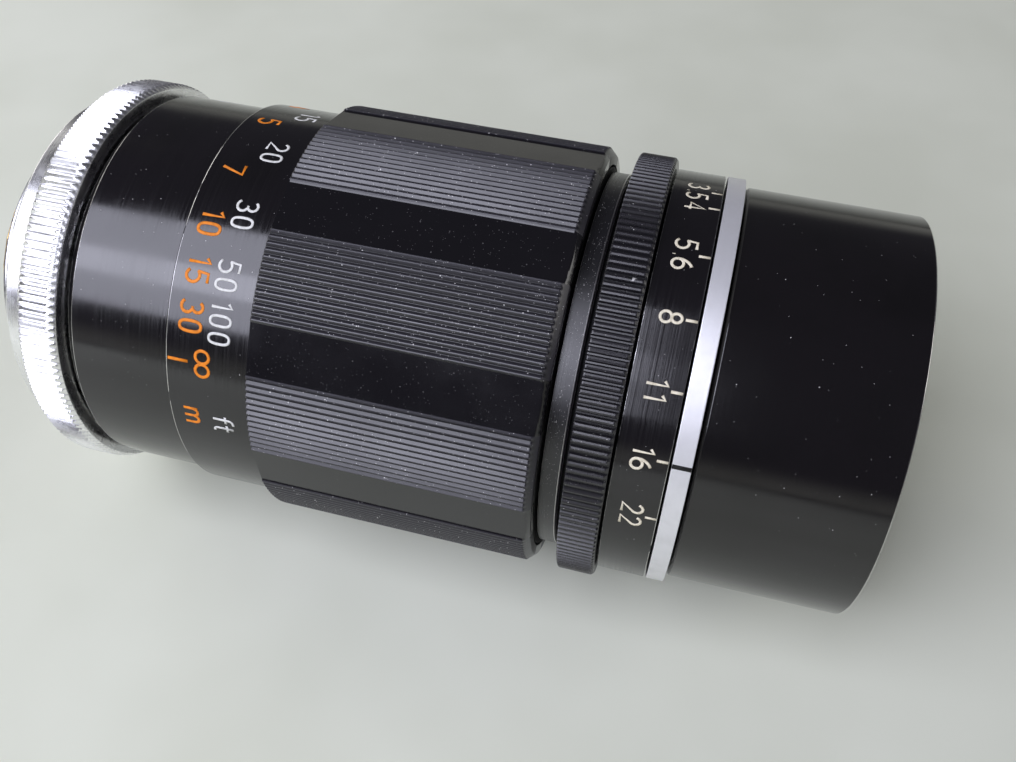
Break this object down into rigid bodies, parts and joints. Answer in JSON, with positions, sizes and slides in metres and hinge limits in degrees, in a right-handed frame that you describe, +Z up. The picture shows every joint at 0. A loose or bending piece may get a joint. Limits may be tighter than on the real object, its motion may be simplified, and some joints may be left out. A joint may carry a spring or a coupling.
{
  "type": "prime camera lens",
  "caption": "Screw-mount telephoto prime lens with a rotating ribbed focusing head, knurled aperture ring and iris; each ring, cell and element is its own piece.",
  "frame": {"origin": "middle of the underside of the bounding box, on the surface that the lens lies on", "axes": "+X along the optical axis from the mount to the front rim, +Z up, the lens lying on its side"},
  "size_m": [0.1152, 0.0562, 0.0563],
  "materials": {
    "black_enamel": "gloss black paint over brass, worn at the edges",
    "black_satin": "satin black, ribbed, dusty",
    "black_matt": "matt black inner surfaces",
    "chrome": "satin chrome plate",
    "aluminium": "satin, fine turned grain",
    "brass": "machined",
    "steel": "plain",
    "blued_steel": "dark, matt",
    "glass": "polished, single coated"
  },
  "bodies": {
    "mount": {"mount_flange": "chrome", "mount_grip_ring": "chrome", "focus_stop_pin": "steel", "fixed_barrel": "black_enamel", "barrel_screw_1": "steel", "barrel_screw_2": "steel", "barrel_screw_3": "steel", "outer_helicoid": "brass", "sleeve_retaining_ring": "brass", "rf_guide_key_1": "steel", "rf_guide_key_2": "steel"},
    "focus_sleeve": {"rf_drive_sleeve": "brass"},
    "rf_cam": {"rf_cam_ring": "brass"},
    "head": {"inner_helicoid": "brass", "drive_key_1": "steel", "drive_key_2": "steel", "distance_ring": "black_enamel", "focus_grip": "black_satin", "grip_screw_1": "steel", "grip_screw_2": "steel", "lens_barrel": "black_matt", "head_collar": "black_satin", "aperture_index_ring": "aluminium", "front_barrel": "black_enamel", "front_cell": "black_matt", "doublet_flint": "glass", "doublet_crown": "glass", "element_spacer": "black_matt", "front_element": "glass", "front_retaining_ring": "black_matt", "rear_cell": "black_matt", "rear_retaining_ring": "black_matt", "rear_element": "glass", "iris_base_plate": "black_matt", "click_ball": "steel", "click_spring": "steel"},
    "aperture": {"aperture_ring": "black_satin", "aperture_scale_ring": "black_enamel", "iris_carrier": "black_matt", "iris_drive_plate": "black_matt", "iris_drive_screw": "steel"},
    "iris_blade_1_body": {"iris_blade_1": "blued_steel"},
    "iris_blade_2_body": {"iris_blade_2": "blued_steel"},
    "iris_blade_3_body": {"iris_blade_3": "blued_steel"},
    "iris_blade_4_body": {"iris_blade_4": "blued_steel"},
    "iris_blade_5_body": {"iris_blade_5": "blued_steel"},
    "iris_blade_6_body": {"iris_blade_6": "blued_steel"},
    "iris_blade_7_body": {"iris_blade_7": "blued_steel"},
    "iris_blade_8_body": {"iris_blade_8": "blued_steel"}
  },
  "joints": [
    {"name": "focus_turn", "type": "hinge", "parent": "mount", "child": "focus_sleeve", "pos_m": [-0.05074, 0, 0.02813], "axis": [1, 0, 0], "range_deg": [-112.7, 181.3]},
    {"name": "focus_extend", "type": "slide", "parent": "focus_sleeve", "child": "head", "axis": [1, 0, 0], "range_m": [-0.00575, 0.00925]},
    {"name": "rf_cam_travel", "type": "slide", "parent": "mount", "child": "rf_cam", "axis": [1, 0, 0], "range_m": [-0.00069, 0.0011]},
    {"name": "aperture_turn", "type": "hinge", "parent": "head", "child": "aperture", "pos_m": [0.02226, 0, 0.02813], "axis": [1, 0, 0], "range_deg": [-16.5, 76.7]},
    {"name": "iris_blade_1_swing", "type": "hinge", "parent": "head", "child": "iris_blade_1_body", "pos_m": [0.02171, 0, 0.04703], "axis": [1, 0, 0], "range_deg": [-5.83, 27.12]},
    {"name": "iris_blade_2_swing", "type": "hinge", "parent": "head", "child": "iris_blade_2_body", "pos_m": [0.02171, -0.01336, 0.04149], "axis": [1, 0, 0], "range_deg": [-5.83, 27.12]},
    {"name": "iris_blade_3_swing", "type": "hinge", "parent": "head", "child": "iris_blade_3_body", "pos_m": [0.02171, -0.0189, 0.02813], "axis": [1, 0, 0], "range_deg": [-5.83, 27.12]},
    {"name": "iris_blade_4_swing", "type": "hinge", "parent": "head", "child": "iris_blade_4_body", "pos_m": [0.02171, -0.01336, 0.01477], "axis": [1, 0, 0], "range_deg": [-5.83, 27.12]},
    {"name": "iris_blade_5_swing", "type": "hinge", "parent": "head", "child": "iris_blade_5_body", "pos_m": [0.02171, 0, 0.00923], "axis": [1, 0, 0], "range_deg": [-5.83, 27.12]},
    {"name": "iris_blade_6_swing", "type": "hinge", "parent": "head", "child": "iris_blade_6_body", "pos_m": [0.02171, 0.01336, 0.01477], "axis": [1, 0, 0], "range_deg": [-5.83, 27.12]},
    {"name": "iris_blade_7_swing", "type": "hinge", "parent": "head", "child": "iris_blade_7_body", "pos_m": [0.02171, 0.0189, 0.02813], "axis": [1, 0, 0], "range_deg": [-5.83, 27.12]},
    {"name": "iris_blade_8_swing", "type": "hinge", "parent": "head", "child": "iris_blade_8_body", "pos_m": [0.02171, 0.01336, 0.04149], "axis": [1, 0, 0], "range_deg": [-5.83, 27.12]}
  ],
  "couplings": [
    {"joint": "focus_extend", "follows": "focus_turn", "m_per_rad": 0.0029233},
    {"joint": "rf_cam_travel", "follows": "focus_turn", "m_per_rad": 0.00034884},
    {"joint": "iris_blade_1_swing", "follows": "aperture_turn", "ratio": 0.35354},
    {"joint": "iris_blade_2_swing", "follows": "aperture_turn", "ratio": 0.35354},
    {"joint": "iris_blade_3_swing", "follows": "aperture_turn", "ratio": 0.35354},
    {"joint": "iris_blade_4_swing", "follows": "aperture_turn", "ratio": 0.35354},
    {"joint": "iris_blade_5_swing", "follows": "aperture_turn", "ratio": 0.35354},
    {"joint": "iris_blade_6_swing", "follows": "aperture_turn", "ratio": 0.35354},
    {"joint": "iris_blade_7_swing", "follows": "aperture_turn", "ratio": 0.35354},
    {"joint": "iris_blade_8_swing", "follows": "aperture_turn", "ratio": 0.35354}
  ]
}
